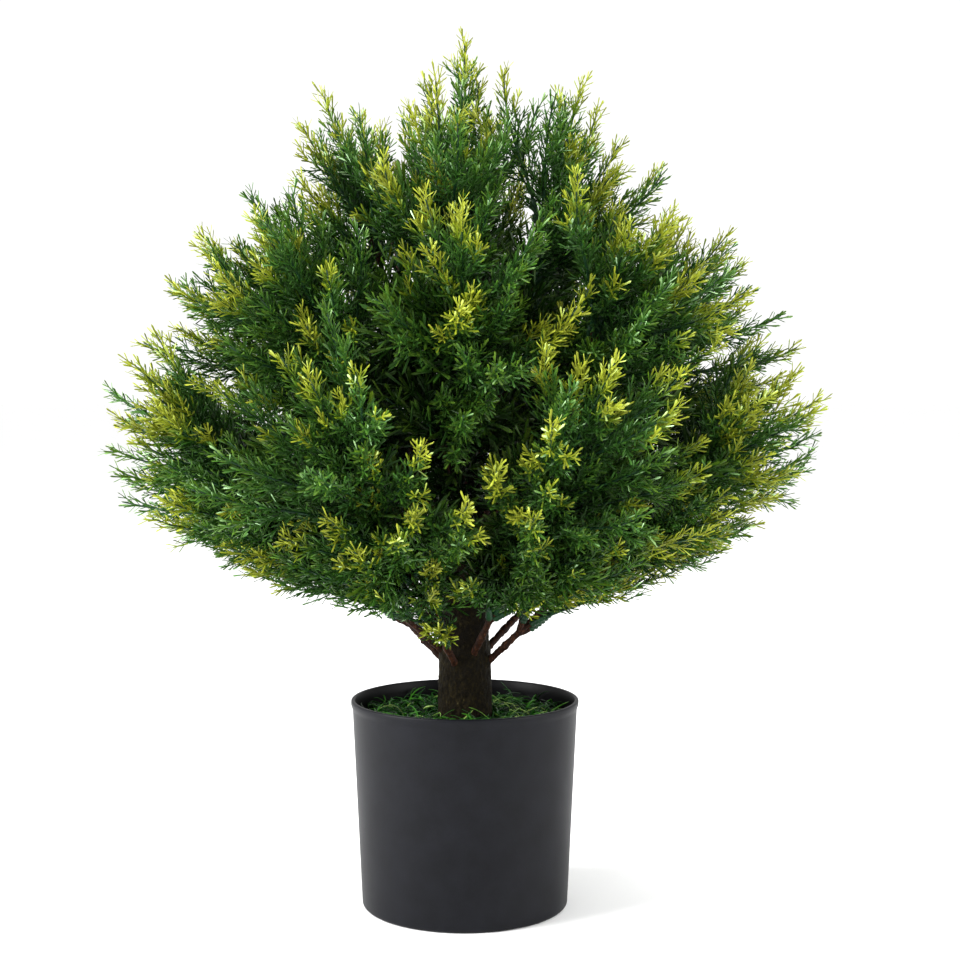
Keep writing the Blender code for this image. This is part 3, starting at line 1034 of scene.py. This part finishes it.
def make_studio():
    scene = bpy.context.scene
    world = bpy.data.worlds.new("studio")
    world.use_nodes = True
    backdrop = world.node_tree.nodes["Background"]
    backdrop.inputs["Color"].default_value = (1.0, 1.0, 1.0, 1.0)
    backdrop.inputs["Strength"].default_value = 1.06
    scene.world = world
    middle = (0, 0, 0.30)
    area_light("key", (-1.9, -0.7, 1.25), middle, (1.3, 1.3), 104)
    area_light("fill", (1.9, -0.7, 1.0), middle, (1.3, 1.3), 36)
    area_light("top", (0.2, 0.1, 2.3), middle, (1.3, 1.3), 24)
    scene.view_settings.view_transform = "Standard"


CAMERA_DISTANCE = 1.20
CAMERA_HEIGHT = 0.366
AIM_HEIGHT = 0.2988
SIDE_STEP = 0.0106  # the photograph's frame is centred this far to the right of the trunk
FIELD_OF_VIEW = 31.13


def make_camera():
    lens = bpy.data.cameras.new("camera")
    lens.sensor_fit = "HORIZONTAL"
    lens.angle = math.radians(FIELD_OF_VIEW)
    camera = bpy.data.objects.new("camera", lens)
    place = Vector((SIDE_STEP, -CAMERA_DISTANCE, CAMERA_HEIGHT))
    camera.location = place
    aim = Vector((SIDE_STEP, 0, AIM_HEIGHT)) - place
    camera.rotation_euler = aim.to_track_quat("-Z", "Y").to_euler()
    bpy.context.scene.collection.objects.link(camera)
    bpy.context.scene.camera = camera


# The whole tree -------------------------------------------------------------------------------------------


def make_branch(branch, needles, bark, sleeve):
    stems, green, tips = Soup(), Soup(), Soup()
    add_stem(stems, branch)
    for spray in branch.sprays:
        add_shoot(stems, spray)
        add_spray(green, tips, spray)
    stem = stems.piece(branch.name + "_shoots", [bark, sleeve])
    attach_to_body(stem, branch.name)
    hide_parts(branch.name + "_stem")
    for label, soup in (("needles", green), ("tips", tips)):
        made = soup.piece(f"{branch.name}_{label}", [needles], smooth=False)
        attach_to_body(made, branch.name)
        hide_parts(branch.name + "_foliage")


def dress_hidden_nodes():
    looks = {
        "ballast": plain_look("cast_cement", linear(150, 147, 138), linear(186, 182, 172), 90.0, 0.9),
        "filler_foam": plain_look("green_foam", linear(70, 100, 64), linear(98, 130, 88), 600.0, 0.95),
        "core_rod": plain_look("drawn_steel", (0.42, 0.42, 0.43), (0.6, 0.6, 0.61), 400.0, 0.4, 0.9, 0.00002),
    }
    for name, look in looks.items():
        frame["nodes"][name].material_slots[0].material = look


def main():
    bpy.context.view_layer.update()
    branches = read_branches()
    place_sprays(branches)
    needles, bark, sleeve = needle_look(), stem_look(), sleeve_look()
    for branch in branches:
        make_branch(branch, needles, bark, sleeve)
    make_trunk(branches, bark_look())
    make_pot(pot_look())
    make_grass(grass_look())
    dress_hidden_nodes()
    make_floor()
    make_studio()
    make_camera()
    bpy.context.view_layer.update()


main()
